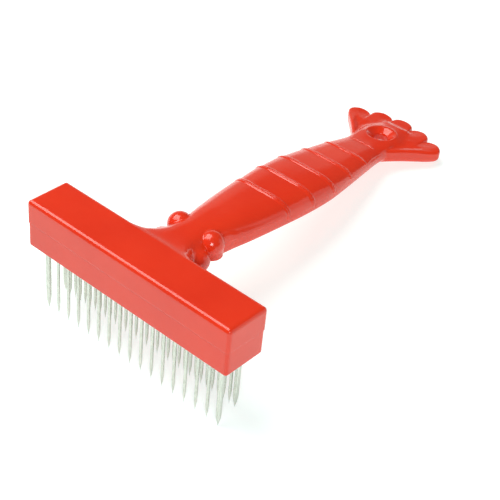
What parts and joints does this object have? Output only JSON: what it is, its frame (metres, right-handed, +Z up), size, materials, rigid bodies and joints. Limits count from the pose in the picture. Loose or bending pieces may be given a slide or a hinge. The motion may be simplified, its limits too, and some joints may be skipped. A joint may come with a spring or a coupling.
{
  "type": "undercoat rake",
  "caption": "Hand rake for a thick coat: a straight head bar holding a long and a short row of pointed steel pins, on a one-piece moulded handle with a holed tail fan.",
  "frame": {"origin": "on the ground under the middle of the outline, with the rake standing on the tips of its long pins and the end of its tail fan", "axes": "+X along the head bar, +Y from the head bar to the tail fan, +Z up from the ground"},
  "size_m": [0.0992, 0.168, 0.0492],
  "materials": {
    "red_plastic": "glossy injection-moulded plastic, coloured through",
    "pin_steel": "bright polished steel wire with ground points"
  },
  "bodies": {
    "root": {"handle_body": "red_plastic", "long_pin_01": "pin_steel", "long_pin_02": "pin_steel", "long_pin_03": "pin_steel", "long_pin_04": "pin_steel", "long_pin_05": "pin_steel", "long_pin_06": "pin_steel", "long_pin_07": "pin_steel", "long_pin_08": "pin_steel", "long_pin_09": "pin_steel", "long_pin_10": "pin_steel", "long_pin_11": "pin_steel", "long_pin_12": "pin_steel", "long_pin_13": "pin_steel", "long_pin_14": "pin_steel", "long_pin_15": "pin_steel", "long_pin_16": "pin_steel", "long_pin_17": "pin_steel", "short_pin_01": "pin_steel", "short_pin_02": "pin_steel", "short_pin_03": "pin_steel", "short_pin_04": "pin_steel", "short_pin_05": "pin_steel", "short_pin_06": "pin_steel", "short_pin_07": "pin_steel", "short_pin_08": "pin_steel", "short_pin_09": "pin_steel", "short_pin_10": "pin_steel", "short_pin_11": "pin_steel", "short_pin_12": "pin_steel", "short_pin_13": "pin_steel", "short_pin_14": "pin_steel", "short_pin_15": "pin_steel", "short_pin_16": "pin_steel", "short_pin_17": "pin_steel", "short_pin_18": "pin_steel", "short_pin_19": "pin_steel", "short_pin_20": "pin_steel", "short_pin_21": "pin_steel", "short_pin_22": "pin_steel", "short_pin_23": "pin_steel", "short_pin_24": "pin_steel", "short_pin_25": "pin_steel", "short_pin_26": "pin_steel", "short_pin_27": "pin_steel", "short_pin_28": "pin_steel", "short_pin_29": "pin_steel", "short_pin_30": "pin_steel", "short_pin_31": "pin_steel", "short_pin_32": "pin_steel", "short_pin_33": "pin_steel"}
  },
  "joints": []
}
